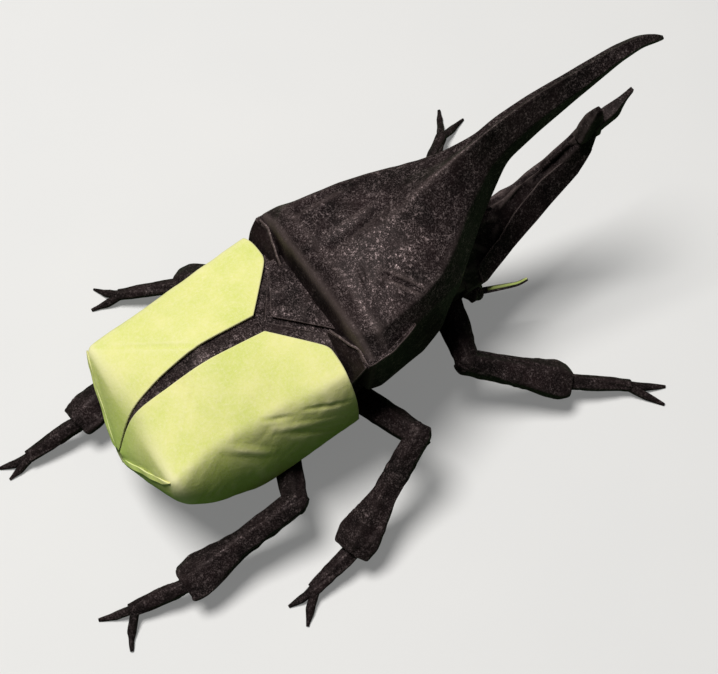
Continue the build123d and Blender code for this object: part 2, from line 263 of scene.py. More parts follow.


# Green side: colours and noises as for the black side; heights in mm between which the hem colour, a darker
# green painted as shade, comes in
greenSide = dict(
    deep=(0.67, 0.73, 0.18, 1), pale=(0.82, 0.81, 0.30, 1), cream=(0.92, 0.87, 0.53, 1),
    hem=(0.37, 0.62, 0.075, 1), smudge=(0.46, 0.38, 0.15, 1), hemShadeTop=40.0, hemShadeFoot=20.0, hemShadeShare=0.75,
    cloud=(11.0, 5.0, 0.6), cloudLevels=(0.34, 0.66), fibre=(0.7, 5.0, 0.7), fibreLevels=(0.4, 0.75),
    lumps=(3.2, 4.0), strand=dict(Scale=0.8, Detail=2.0, Distortion=3.0), strandLevels=(0.56, 0.7),
    smudges=(6.0, 4.0, 0.7), smudgeLevels=(0.64, 0.82), fibreShare=0.45, strandShare=0.25, smudgeShare=0.3,
    # how far folds and edges pale towards cream, from wear and as a painted highlight
    ridgeWearAndHighlight=0.6, edgeWearAndHighlight=0.5, rough=0.72, roughSpread=0.16, gloss=0.3,
    lumpHeight=1.6, bump=0.35, bumpDepth=0.00022,
)


# matt pulp with faint mottling, creamier on strands; darker green towards the hems as a painted shade, and
# paler on folds and edges from wear and as a painted highlight
def greenPaper():
    side = greenSide
    material, shader, place = newMaterial("green_paper")
    cloud = place.noise(*side["cloud"]).ramp(*side["cloudLevels"])
    fibre = place.noise(*side["fibre"])
    strand = place.node("ShaderNodeTexNoise", Vector=place, **side["strand"]).ramp(*side["strandLevels"])
    smudge = place.noise(*side["smudges"]).ramp(*side["smudgeLevels"])
    # low: 1 low on the flanks and 0 high up, for the painted shade of the hem colour
    low = place.node("ShaderNodeSeparateXYZ", out=2, i0=place).ramp(side["hemShadeTop"], side["hemShadeFoot"])
    threads = fibre.ramp(*side["fibreLevels"]) * side["fibreShare"] + strand * side["strandShare"]
    # paler on folds and free edges, from wear and as a painted highlight
    wearAndHighlight = place.mark("ridge") * side["ridgeWearAndHighlight"] + place.mark("edge") * side["edgeWearAndHighlight"]
    colour = cloud.mix(side["deep"], side["pale"])
    colour = threads.mix(colour, side["cream"])
    # darker green towards the bottom of the flanks, a painted shade
    colour = (low * side["hemShadeShare"]).mix(colour, side["hem"])
    colour = (smudge * side["smudgeShare"]).mix(colour, side["smudge"])
    feed(shader, "Base Color", wearAndHighlight.mix(colour, side["cream"]))
    feed(shader, "Roughness", side["rough"] + fibre * side["roughSpread"])
    grain = fibre + place.noise(*side["lumps"]) * side["lumpHeight"]
    bump = grain.node("ShaderNodeBump", Strength=side["bump"], Distance=side["bumpDepth"], Height=grain)
    feed(shader, "Normal", bump)
    shader.inputs["Specular IOR Level"].default_value = side["gloss"]
    return material


black = blackPaper()
green = greenPaper()
print("materials made")

# Wing cases, in mm: rows from the front edge to the tail; places named At, From or To are shares of the grid
wing = dict(
    y=(-0.6, 26.0, 36.3, 46.6, 51.4), back=(45.4, 47.4, 43.2, 37.2, 22.5),
    ridgeX=(24.7, 22.6, 21.7, 21.1, 1.7), ridgeZ=(44.0, 40.7, 39.5, 38.2, 21.6),
    hemX=(25.0, 25.0, 24.3, 22.0, 0.1), hemZ=(24.3, 18.5, 20.8, 27.7, 16.0),
    gapY=(10.2, 26.0, 36.3, 46.6, 51.4), gapX=(2.6, 2.4, 1.8, 0.5, 0.3), notchX=15.4,
    passes=dict(back=260, ridgeX=12, ridgeZ=12, hemX=120, hemZ=160), softAcross=26, softAlong=4,
    rows=150, columns=130, ridgeAt=0.56, cornerAt=0.7, roundFrom=0.8, leanTo=0.3, insetFade=12.0,
    lean=0.07, puff=0.9, thick=0.7, rounded={1: 1.2, -1: 0.4}, bulge={1: 0.8, -1: 1.9},
    inset={1: 0.0, -1: 2.2}, creases=(0.3, 13.0), fineCreases=(0.05, 4.5), seed=4, fineSeed=14,
    calm=0.15, calmTo=0.46, handledFrom=0.56,
)
wingY = np.linspace(wing["y"][0], wing["y"][-1], 240)
smoothed = {name: soften(np.interp(wingY, wing["y"], wing[name]), passes, 0)
            for name, passes in wing["passes"].items()}
wingFolds = {  # start, end, height and width of single creases
    1: [((20.4, 45.4, 38.6), (2.2, 25.7, 46.8), -0.3, 0.9),
        ((20.6, 45.6, 37.6), (3.6, 50.4, 24.0), 0.2, 1.4)],
    -1: [((-20.2, 21.7, 41.7), (-23.2, 14.8, 40.4), -0.3, 1.0),
         ((-23.2, 13.4, 41.4), (-24.7, 0.7, 36.9), -0.35, 1.0),
         ((-22.6, 20.0, 39.0), (-24.6, 3.0, 32.0), 0.45, 1.6),
         ((-21.2, 33.0, 40.5), (-24.3, 22.0, 32.0), 0.4, 1.8),
         ((-20.4, 45.4, 38.6), (-4.0, 30.0, 45.6), -0.2, 0.9),
         ((-24.6, 16.0, 35.5), (-25.0, 4.0, 27.0), -0.4, 1.4)],
}


# height of the back: from the middle's height to the ridge's in proportion to the half width
def backHeight(x, y):
    middle = np.interp(y, wingY, smoothed["back"])
    ridge = np.interp(y, wingY, smoothed["ridgeZ"])
    share = np.abs(x) / np.interp(y, wingY, smoothed["ridgeX"])
    return middle + (ridge - middle) * share + wing["puff"] * np.sin(np.pi * np.clip(share, 0, 1))


# roof from the inner edge to the ridge, then the flank down to the hem
def wingCase(side):
    along = np.linspace(0, 1, wing["rows"])[:, None]
    across = np.linspace(0, 1, wing["columns"])[None, :]
    roof = progress(across, 0, wing["ridgeAt"])
    drop = progress(across, wing["ridgeAt"], 1)
    notch = progress(wing["notchX"], wing["gapX"][0], wing["ridgeX"][0])
    front = np.interp(roof, (0, notch, 1), (wing["gapY"][0], wing["y"][0], wing["y"][0]))
    front = front + wing["rounded"][side] * progress(roof, wing["roundFrom"], 1) ** 2 * (1 - drop / 2)
    corner, tail = wing["y"][3:]
    y = front + (corner - front) * progress(along, 0, wing["cornerAt"])
    y = y + (tail - corner) * progress(along, wing["cornerAt"], 1)
    inner = np.interp(y, wing["gapY"], wing["gapX"])
    lines = ("ridgeX", "ridgeZ", "hemX", "hemZ")
    ridgeX, ridgeZ, hemX, hemZ = (np.interp(y, wingY, smoothed[line]) for line in lines)
    ridgeX = ridgeX - wing["inset"][side] * progress(y, corner, corner - wing["insetFade"])
    x = inner + (ridgeX - inner) * roof
    z = backHeight(x, y)
    x = x + (hemX - ridgeX) * drop + wing["bulge"][side] * np.sin(np.pi * drop ** 0.8)
    z = z + (hemZ - backHeight(ridgeX, y)) * drop
    y = y + wing["lean"] * (hemZ - ridgeZ) * drop * (1 - progress(along, 0, wing["leanTo"]))
    points = soften(soften(np.stack((x, y, z), -1), wing["softAcross"], 1), wing["softAlong"], 0)
    points[..., 0] *= side
    normal = facing(points, False) * side
    hand = progress(across, wing["calmTo"], wing["handledFrom"])  # the flanks are the more handled part
    hand = (wing["calm"] + (1 - wing["calm"]) * hand)[..., None]
    coarse = crumple(points, *wing["creases"], wing["seed"] + side)
    points = creased(points, normal, wingFolds[side]) + normal * coarse * hand
    points = points + normal * crumple(points, *wing["fineCreases"], wing["fineSeed"] + side) * hand
    return paper("wing_case_" + sideName[side], points, green,
                 thick=wing["thick"], outward=side)


for side in (1, -1):
    wingCase(side)

# Folded lips under the rear panel, in mm, with the ways in which they hang and stand off
lip = dict(corner=(20.5, 46.6, 37.6), tail=(1.6, 51.4, 21.8), wide=1.7, gap=0.4, hang=(0, 0.45, -0.89),
           off=(0, 0.89, 0.45), narrow=0.08, taper=9, waves=0.08, alongRate=17, acrossRate=2, thick=0.45)


# a narrow strip carried from the corner to the tail, tapered at both ends and bowed off the panel by a gap
def rearLip(side):
    along = np.linspace(0, 1, 60)[:, None, None]
    across = np.linspace(0, 1, 10)[None, :, None]
    line = np.array(lip["corner"]) * (1 - along) + np.array(lip["tail"]) * along
    taper = np.clip(np.minimum(along, 1 - along) * lip["taper"], lip["narrow"], 1) ** 0.7
    points = line + across * lip["wide"] * taper * np.array(lip["hang"])
    bow = lip["gap"] * np.sin(np.pi * along) ** 0.5
    points = points + bow * (1 - 0.5 * across) * np.array(lip["off"])
    points = points + lip["waves"] * np.sin(along * lip["alongRate"] + across * lip["acrossRate"])
    points[..., 0] *= side
    return paper("rear_lip_" + sideName[side], points, green,
                 thick=lip["thick"], outward=side)


for side in (1, -1):
    rearLip(side)
print("wing cases made")

# Black layer below the gap, in mm
gap = dict(y=(-9.0, -0.6, 10.2, 36.3, 46.6, 51.0), half=(15.4, 15.4, 2.6, 2.0, 0.6, 1.3), margin=1.6,
           sunk=1.1, rear=4.2, fall=6.0, cornerAt=0.75, fallFrom=0.93, soft=6, creases=(0.18, 6.0),
           seed=21, thick=0.5)


# as wide as the gap plus a margin and one wall below the back, with a fall at the end that closes the tail
def gapLayer():
    along = np.linspace(0, 1, 150)[:, None]
    front, corner = gap["y"][0], gap["y"][4]
    y = front + (corner - front) * progress(along, 0, gap["cornerAt"])
    y = y + gap["rear"] * progress(along, gap["cornerAt"], 1)
    half = np.interp(y, gap["y"], gap["half"]) + gap["margin"]
    x = np.linspace(-1, 1, 40)[None, :] * half
    y = y + 0 * x
    fall = gap["fall"] * progress(along, gap["fallFrom"], 1)
    points = np.stack((x, y, backHeight(x, y) - gap["sunk"] - fall), -1)
    points = soften(soften(points, gap["soft"], 1), gap["soft"], 0)
    points = points + facing(points, False) * crumple(points, *gap["creases"], gap["seed"])
    return paper("gap_layer", points, black, thick=gap["thick"])


gapLayer()

# Pleated plate in the notch, in mm: the upper layer lies a step further forward
plate = dict(half=13.6, front=-9.0, apex=8.8, right=-4.6, left=-0.6, step=1.9, top=44.7, rise=1.25, arch=0.5,
             archWide=9.0, slope=0.03, layers=2, creases=(0.12, 7.0), seed=31, thick=0.6)


# from the straight front to a pointed back edge, arched as a cosine across and sloping down behind the notch
def plateLayer(layer):
    shift = layer * plate["step"]
    x = np.linspace(-1, 1, 70)[None, :] * plate["half"]
    back = np.interp(x, (-plate["half"], 0, plate["half"]),
                     (plate["right"] - shift, plate["apex"] - shift, plate["left"]))
    along = np.linspace(0, 1, 50)[:, None]
    y = plate["front"] + (back - plate["front"]) * along
    arch = plate["arch"] * np.cos(x / plate["archWide"])
    z = plate["top"] + layer * plate["rise"] + arch - plate["slope"] * np.maximum(y, 0)
    points = soften(np.stack((x + 0 * y, y, z), -1), 2, 1)
    points = points + facing(points, False) * crumple(points, *plate["creases"], plate["seed"] + layer)
    return paper(f"pleat_{layer}", points, black, thick=plate["thick"])


for layer in range(plate["layers"]):
    plateLayer(layer)
print("gap and pleats made")

# Hood and upper horn, in mm: y, z of the crest, rise between crest and shoulder,
# then half width and z of the shoulder, the edge and the hem
hood = [
    (-3.5, 45.0, 0.0, 7.0, 44.8, 11.0, 44.6, 11.0, 36.0),
    (-5.1, 53.0, 0.0, 17.8, 52.2, 25.2, 48.4, 23.0, 31.0),
    (-9.6, 56.0, 0.3, 20.8, 54.0, 24.7, 48.8, 22.4, 27.5),
    (-24.0, 60.4, 0.6, 18.8, 55.2, 21.0, 48.8, 19.8, 26.5),
    (-30.0, 63.2, 0.3, 16.8, 56.2, 19.2, 48.6, 18.4, 30.5),
    (-36.0, 67.2, -0.9, 13.6, 58.6, 17.0, 48.0, 16.8, 46.0),
    (-44.0, 71.0, -1.9, 8.0, 63.2, 10.8, 50.0, 10.4, 48.6),
    (-52.5, 74.4, -1.7, 4.2, 69.4, 4.6, 52.6, 3.8, 51.2),
    (-57.5, 76.2, -1.1, 3.7, 72.4, 3.4, 63.8, 2.4, 62.6),
    (-66.0, 78.4, -0.8, 3.2, 75.2, 2.8, 67.6, 2.0, 66.6),
    (-78.0, 79.4, -0.6, 2.7, 76.8, 2.4, 72.4, 1.6, 71.6),
    (-90.0, 80.6, -0.3, 2.2, 78.6, 1.9, 76.6, 1.2, 76.0),
    (-97.0, 80.0, 0.0, 1.7, 78.4, 1.4, 77.2, 0.9, 76.8),
    (-101.5, 78.0, 0.0, 1.3, 76.8, 1.1, 75.8, 0.7, 75.4),
    (-104.5, 75.6, 0.0, 0.6, 75.2, 0.5, 74.6, 0.3, 74.4),
]
hoodFolds = [  # start, end, height and width of single creases
    ((-10.2, -17.8, 57.4), (-18.3, -23.5, 55.4), -0.8, 0.8),
    ((-5.5, -14.4, 56.8), (-12.4, -12.6, 55.8), -0.25, 1.0),
    ((4.5, -29.0, 62.6), (4.0, -13.0, 56.6), -0.8, 2.4),
    ((15.0, -24.0, 57.0), (16.0, -11.0, 55.0), 0.4, 1.8),
]
hollow = dict(ahead=(34, 44, 52.5, 57.5, 66, 78, 92), drop=(0, 2.6, 4.2, 3.4, 2.6, 1.6, 0),
              shoulderIn=0.15, bendIn=0.1, bendDown=0.15)  # in the horn's right face
hoodForm = dict(shares=(2, 2, 3, 3, 0.7, 0.7, 3, 3, 2, 2), around=280, along=320, roundness=14, flow=4,
                hornFrom=34, hornFull=46, hornFlow=30, creases=(0.14, 10.0), seed=41, calm=0.25, calmTo=-62,
                creasedFrom=-42, rollShade=0.25, rollShadeTo=4.8, rollLitFrom=8.3)


# closed rings through the fold points of each row, joined by straight folds and then softened
def loft(corners, shares, around, along, roundness, flow):
    centre = corners.mean(1)
    knots = np.concatenate(([0], np.cumsum(np.linalg.norm(np.diff(centre, axis=0), axis=1))))
    shares = np.concatenate(([0], np.cumsum(shares))) / np.sum(shares)
    closedRing = np.concatenate((corners, corners[:, :1]), 1)
    rings = between(closedRing.transpose(1, 0, 2), shares, np.linspace(0, 1, around, endpoint=False))
    points = between(rings.transpose(1, 0, 2), knots, np.linspace(0, knots[-1], along))
    return soften(soften(points, roundness, 1, closed=True), flow, 0)


# rings over crest, shoulders, edges and hems and back under the hood; the horn is softened most
def hoodAndHorn():
    form = hoodForm
    y, crest, rise, sx, sz, ex, ez, hx, hz = np.array(hood).T
    zero = 0 * y
    bend = (crest + sz) / 2 + rise
    drop = np.interp(-y, hollow["ahead"], hollow["drop"])
    ring = [(zero, crest), (sx / 2, bend), (sx, sz), (ex, ez), (hx, hz), (zero, hz + 0.5 * hx),
            (-hx, hz), (-ex, ez), (-sx + hollow["shoulderIn"] * drop, sz - drop),
            (-sx / 2 + hollow["bendIn"] * drop, bend - hollow["bendDown"] * drop)]
    corners = np.stack([np.stack((x, y, z), -1) for x, z in ring], 1)
    points = loft(corners, form["shares"], form["around"], form["along"], form["roundness"], form["flow"])
    horn = progress(-points[..., 1:2], form["hornFrom"], form["hornFull"])
    points = points * (1 - horn) + soften(points, form["hornFlow"], 0) * horn
    normal = -facing(points, True)
    fade = np.maximum(progress(points[..., 1:2], form["calmTo"], form["creasedFrom"]), form["calm"])
    crumpled = crumple(points, *form["creases"], form["seed"])
    points = creased(points, normal, hoodFolds) + normal * crumpled * fade
    shine = progress(-points[..., 1], form["rollShadeTo"], form["rollLitFrom"])  # less mica on the rolled rear edge, a painted shade
    shine = form["rollShade"] + (1 - form["rollShade"]) * shine
    return paper("hood", points, black, closed=True, caps=True, outward=-1, shine=shine)


hoodAndHorn()

# Limbs: a five-sided section with a ridge on top, in parts of the width and height
limbForm = dict(section=((0, 0.5), (0.5, 0.125), (0.33, -0.5), (-0.33, -0.5), (-0.5, 0.125)),
                shares=(3, 3, 3, 3, 3), twist=0.25, turnBySeed=0.37, creases=(0.12, 4.5), worn=0.8)


# rings of that section, square to the path at each station; the paper is wrapped in a spiral,
# so its height runs evenly through each turn and ends in a step at the free edge
# shine: half the mica on the limbs by default, a painted shade
def limb(name, stations, seed, around=72, along=80, roundness=14, flow=6, wraps=2, wrap=0.3, shine=0.5):
    centre = np.array([np.array(place, float) for place, _, _ in stations])
    wide = np.array([size[0] for _, size, _ in stations])[:, None]
    high = np.array([size[1] for _, size, _ in stations])[:, None]
    way = np.array([np.array(ahead, float) for _, _, ahead in stations])
    way = way / np.linalg.norm(way, axis=1, keepdims=True)
    flat = np.cross((0, 0, 1), way)
    flat = flat / np.linalg.norm(flat, axis=1, keepdims=True)
    up = np.cross(way, flat)
    section = np.array(limbForm["section"])
    corners = centre[:, None] + flat[:, None] * (section[:, 0] * wide)[..., None]
    corners = corners + up[:, None] * (section[:, 1] * high)[..., None]
    points = loft(corners, limbForm["shares"], around, along, roundness, flow)
    turn = np.linspace(0, 1, around, endpoint=False)[None, :, None]
    turn = turn + np.linspace(0, limbForm["twist"], along)[:, None, None]
    step = ((turn * wraps + seed * limbForm["turnBySeed"]) % 1 - 0.5) * wrap
    step = soften(step, 1, 1, closed=True)
    points = points + facing(points, True) * (step + crumple(points, *limbForm["creases"], seed))
    points[..., 2] = np.maximum(points[..., 2], 0.0)  # none below the table
    return paper(name, points, black, closed=True, caps=True, outward=-1,
                 worn=limbForm["worn"], shine=shine)


# Collar at the hood's rear corners, in mm: a rim on the hem, a pocket below it, a lip and a rolled edge
collar = dict(
    near=(10.8, -2.4, 45.9), bend=(20.3, -5.3, 47.6), far=(24.8, -4.2, 48.0), low=(23.4, -0.8, 41.0),
    bendAt=0.62, wide=1.5, rimWay=(0, 0.6, 0.8), curl=0.5, curlWay=(0.5, 0.9, 0.2), open=0.02,
    thick=0.6, soft=10, lip=((25.0, -4.4, 48.3), (24.5, -11.0, 49.3), (22.2, -19.0, 49.9)),
    # shine: little mica in the pocket, a painted shade on the hollow; more on the rim and the lip, a painted
    # highlight
    lipWide=1.2, lipEnd=0.94, lipWay=(0.9, 0, 0.45), shine=dict(rim=1.4, pocket=0.2, lip=1.4, roll=0.8),
    creases=(0.1, 5.0), seed=45, rollSeed=47,
    roll=[((23.9, -3.9, 47.7), (2.6, 2.4)), ((23.5, -10.5, 48.3), (2.4, 2.6)),
          ((21.9, -17.6, 48.9), (0.9, 0.9))],
)


# straight lines from the hem to the free edge; rim and lip narrow towards their ends, the pocket is curled
def collarFolds(side):
    name = sideName[side]
    mirror = np.array((side, 1, 1))
    near, bend, far, low = (np.array(collar[key]) for key in ("near", "bend", "far", "low"))
    share = np.linspace(0, 1, 60)
    line = soften(between((near, bend, far), (0, collar["bendAt"], 1), share), collar["soft"], 0)[:, None]
    along = share[:, None, None]
    across = np.linspace(0, 1, 14)[None, :, None]
    rim = line + across * collar["wide"] * np.sin(np.pi * along) ** 0.5 * np.array(collar["rimWay"])
    spread = np.clip(along * (1 + collar["open"]), collar["open"], 1)
    pocket = line + across * (near + spread * (low - near) - line)
    pocket = pocket + collar["curl"] * np.sin(np.pi * across) * spread * np.array(collar["curlWay"])
    sheets = dict(rim=rim, pocket=pocket)
    if side < 0:  # only the right side shows a lip
        foot = soften(between(collar["lip"], (0, 0.5, 1), share), collar["soft"], 0)[:, None]
        width = collar["lipWide"] * np.sin(np.pi * along * collar["lipEnd"]) ** 0.4
        sheets["lip"] = foot + across * width * np.array(collar["lipWay"])
    for kind, points in sheets.items():
        points = points * mirror
        points = points + facing(points, False) * crumple(points, *collar["creases"], collar["seed"])
        paper(f"collar_{kind}_{name}", points, black, thick=collar["thick"], outward=side,
              shine=collar["shine"][kind])
    places = [np.array(place) * mirror for place, _ in collar["roll"]]
    sizes = [size for _, size in collar["roll"]]
    ways = np.gradient(places, axis=0)
    limb(f"collar_roll_{name}", list(zip(places, sizes, ways)), collar["rollSeed"],
         around=40, along=60, wraps=1, wrap=0.3, shine=collar["shine"]["roll"])


for side in (1, -1):
    collarFolds(side)
print("hood made")

# Trunk, in mm: y, then half width and z of the roof, the chine and the keel
trunk = [
    (43.8, 16.4, 35.7, 15.0, 31.0, 9.6, 26.0),
    (26.0, 19.4, 32.5, 18.0, 18.0, 9.6, 13.0),
    (-0.6, 19.4, 38.3, 18.0, 17.0, 9.6, 12.0),
    (-10.5, 16.8, 42.1, 15.4, 17.0, 9.6, 12.0),
    (-24.0, 14.2, 41.1, 12.8, 18.5, 9.6, 13.5),
    (-30.0, 12.8, 45.1, 11.4, 20.0, 9.6, 15.0),
]
trunkForm = dict(shares=(4, 2, 4, 2, 4, 6), around=120, along=110, roundness=5, flow=6)


# six-sided rings from roof to keel and back up, crumpled all over
def trunkFolds():
    y, rx, rz, cx, cz, kx, kz = np.array(trunk).T
    ring = [(rx, rz), (cx, cz), (kx, kz), (-kx, kz), (-cx, cz), (-rx, rz)]
    corners = np.stack([np.stack((x, y, z), -1) for x, z in ring], 1)
    points = loft(corners, **trunkForm)
    points = points - facing(points, True) * crumple(points, amount=0.35, size=9.0, seed=51)
    return paper("trunk", points, black, closed=True, caps=True, outward=-1)


trunkFolds()

# Head and lower horn, in mm: y, then half width and z of the top, the side and the underside
head = [
    (-32.0, 8.0, 50.0, 13.4, 38.0, 8.0, 19.0),
    (-42.0, 6.5, 47.0, 12.6, 33.0, 8.0, 18.0),
    (-50.0, 5.4, 40.5, 10.2, 29.0, 6.0, 20.5),
    (-60.0, 4.0, 38.0, 6.8, 31.0, 4.6, 28.5),
    (-73.0, 3.0, 43.4, 4.3, 37.4, 3.0, 35.6),
    (-82.0, 2.6, 49.4, 3.4, 42.2, 2.4, 40.4),
    (-86.6, 2.3, 53.4, 2.9, 47.4, 2.0, 46.2),
    (-88.0, 2.0, 54.4, 2.0, 51.6, 1.4, 50.6),
    (-94.0, 1.5, 56.8, 1.6, 53.8, 1.1, 52.8),
    (-99.0, 0.6, 60.2, 0.6, 59.2, 0.4, 58.8),
]
headForm = dict(shares=(4, 3, 3, 3, 4, 3), around=120, along=180, roundness=3, flow=5)
press = dict(share=(0, 1, 1, 1, 1, 0.8, 0.3, 0, 0, 0), narrower=0.7, lower=1.6)  # of the right slope


# six-sided rings from the top over the sides to the underside, with the right top corner pressed in
def headAndHorn():
    y, tx, tz, sx, sz, ux, uz = np.array(head).T
    pressed = np.array(press["share"])
    ring = [(tx, tz), (sx, sz), (ux, uz), (-ux, uz), (-sx, sz),
            (-tx * (1 - press["narrower"] * pressed), tz - press["lower"] * pressed)]
    corners = np.stack([np.stack((x, y, z), -1) for x, z in ring], 1)
    points = loft(corners, **headForm)
    points = points - facing(points, True) * crumple(points, amount=0.22, size=7.0, seed=61)
    # shine 0.5: half the mica on the head, a painted shade
    return paper("head", points, black, closed=True, caps=True, outward=-1, shine=0.5)


headAndHorn()

# Layers folded over the head, in mm: a brow over its top, a flap on its right slope and cheeks on both sides
layers = dict(
    brow=(1, 7), over=0.5, peak=2.0, eaves=2.6, shift=0.3, out=0.9, down=0.8, browFade=(1, 1, 1, 1, 0.6, 0),
    flap=((-8.6, -48.0, 32.6), (-5.2, -57.0, 33.6), (-2.3, -64.0, 37.2), (-0.6, -72.7, 42.3),
          (-0.8, -79.0, 45.5), (-2.4, -86.2, 47.6)),
    lift=0.65, liftWay=(-0.6, 0, 0.8), liftFrom=88, liftFull=80, flapSoft=12,
    cheek=(1, 6), count=2, rise=-0.6, step=1.7, proud=0.5, firstProud=0.4, cheekFade=(0.2, 1, 1, 0.8, 0.1),
    pleats=[((0.4, -79.0, 47.0), (-3.5, -54.6, 35.4), -0.8, 1.3),
            ((1.2, -67.5, 42.0), (-0.4, -60.0, 38.6), 0.6, 0.8),
            ((3.0, -70.0, 41.0), (1.2, -56.0, 39.5), -0.5, 1.0)],
    # shine: less mica on the brow, the flap and the cheeks, a painted shade
    thick=0.55, shine=dict(brow=0.4, flap=0.8, cheek=0.6),
)


# straight lines across between fold lines of the head: eaves, peak and right side
def browAndFlap():
    first, last = layers["brow"]
    y, tx, tz, sx, sz, _, _ = np.array(head)[first:last].T
    fade = np.array(layers["browFade"])
    eaves = np.stack((tx + layers["over"], y, tz - layers["eaves"]), -1)
    peak = np.stack((layers["shift"] * tx, y, tz + layers["peak"] * tx / tx[0]), -1)
    rightSide = np.stack((-sx - layers["out"] * fade, y, sz - layers["down"] * fade), -1)
    points = between((eaves, peak, rightSide), (0, 0.5, 1), np.linspace(0, 1, 70)).transpose(1, 0, 2)
    points = soften(between(points, -y, np.linspace(-y[0], -y[-1], 160)), 3, 0)
    normal = facing(points, False)
    crumpled = crumple(points, amount=0.26, size=5.0, seed=63)
    points = creased(points, normal, layers["pleats"]) + normal * crumpled
    paper("brow", points, black, thick=layers["thick"],
          shine=layers["shine"]["brow"], worn=0.1)

    flapAhead = -np.array(layers["flap"])[:, 1]  # the flap runs from its free edge to the side
    ahead = np.linspace(flapAhead[0], flapAhead[-1], 120)
    free = soften(between(layers["flap"], flapAhead, ahead), layers["flapSoft"], 0)
    rim = between(rightSide, -y, ahead)
    points = between((free, rim), (0, 1), np.linspace(0, 1, 24)).transpose(1, 0, 2)
    lift = layers["lift"] * progress(ahead, layers["liftFrom"], layers["liftFull"])[:, None, None]
    points = points + lift * np.array(layers["liftWay"])
    points = points + facing(points, False) * crumple(points, amount=0.12, size=7.0, seed=64)
    paper("brow_flap", points, black, thick=layers["thick"], shine=layers["shine"]["flap"])


# straight lines down from the side to the underside, each layer a step lower and further out
def cheekLayer(side, layer):
    first, last = layers["cheek"]
    y, _, _, sx, sz, ux, uz = np.array(head)[first:last].T
    share = layers["firstProud"] + (1 - layers["firstProud"]) * layer
    out = layers["proud"] * share * np.array(layers["cheekFade"])
    high = np.stack((side * (sx + out), y, sz + layers["rise"] - layers["step"] * layer), -1)
    low = np.stack((side * (ux + out), y, uz), -1)
    points = between((high, low), (0, 1), np.linspace(0, 1, 24)).transpose(1, 0, 2)
    points = soften(between(points, -y, np.linspace(-y[0], -y[-1], 90)), 4, 0)
    crumpled = crumple(points, amount=0.16, size=5.0, seed=65 + side + 2 * layer)
    points = points + facing(points, False) * crumpled
    paper(f"cheek_{layer}_" + sideName[side], points, black, thick=layers["thick"],
          outward=-side, shine=layers["shine"]["cheek"])


browAndFlap()
for side in (1, -1):
    for layer in range(layers["count"]):
        cheekLayer(side, layer)

# Tooth on the lower horn, in mm: z, half width, y of the rear and y of the front, from foot to top
tooth = [
    (50.6, 1.9, -83.0, -89.8),
    (54.6, 1.8, -84.2, -89.8),
    (57.4, 1.5, -85.6, -89.6),
    (59.0, 0.8, -87.2, -89.2),
]
toothForm = dict(shares=(3, 2, 3, 2), around=48, along=30, roundness=3, flow=2)


# four-sided rings that narrow towards the top
def hornTooth():
    z, half, rear, front = np.array(tooth).T
    ring = [(half, rear), (half, front), (-half, front), (-half, rear)]
    corners = np.stack([np.stack((x, y, z), -1) for x, y in ring], 1)
    points = loft(corners, **toothForm)
    # shine 0.4: less mica on the tooth, a painted shade
    paper("horn_tooth", points, black, closed=True, caps=True, outward=-1,
          worn=0.1, shine=0.4)


hornTooth()

# Eyes and feelers, in mm
eye = dict(place=(9.6, -47.0, 22.9), radius=3.0, lobes=6, lobeDepth=0.16, poles=0.05)
feeler = dict(bend=(14.6, -57.5, 24.6), tip=(15.6, -59.4, 26.6), bendAt=0.82, soft=24, wide=2.0, taper=0.45,
              acrossWay=(0.9, 0.43, 0), fold=0.35, thick=0.5, topRow=18, topColumns=(3, 10), topRaised=0.28,
              topThick=0.2)


# eye: a ball drawn in between its lobes; feeler: a folded strip through the eye, the bend and the tip
def eyeAndFeeler(side):
    name = sideName[side]
    mirror = np.array((side, 1, 1))
    lift = np.linspace(eye["poles"], np.pi - eye["poles"], 40)[:, None]
    turn = np.linspace(0, 2 * np.pi, 56, endpoint=False)[None, :]
    radius = eye["radius"] * (1 - eye["lobeDepth"] * np.abs(np.sin(turn * eye["lobes"] / 2 + lift)))
    ball = np.stack((radius * np.sin(lift) * np.cos(turn), radius * np.sin(lift) * np.sin(turn),
                     radius * np.cos(lift) + 0 * turn), -1)
    ball = ball + np.array(eye["place"]) * mirror
    paper("eye_" + name, ball, black, closed=True, caps=True, outward=-1)
    share = np.linspace(0, 1, 70)
    path = between((eye["place"], feeler["bend"], feeler["tip"]), (0, feeler["bendAt"], 1), share)
    path = soften(path, feeler["soft"], 0)[:, None]
    across = np.linspace(-1, 1, 13)[None, :, None]
    taper = (1 - feeler["taper"] * share ** 2)[:, None, None]
    strip = path + across * taper * feeler["wide"] / 2 * np.array(feeler["acrossWay"])
    strip = strip - feeler["fold"] * np.abs(across) * np.array((0, 0, 1))
    paper("feeler_" + name, strip * mirror, black, thick=feeler["thick"], outward=-side)
    first, last = feeler["topColumns"]  # the green side shows beyond the eye, in from the edges
    shown = strip[feeler["topRow"]:, first:last] + np.array((0, 0, feeler["topRaised"]))
    paper("feeler_top_" + name, shown * mirror, green,
          thick=feeler["topThick"], outward=-side)


for side in (1, -1):
    eyeAndFeeler(side)
print("head made")

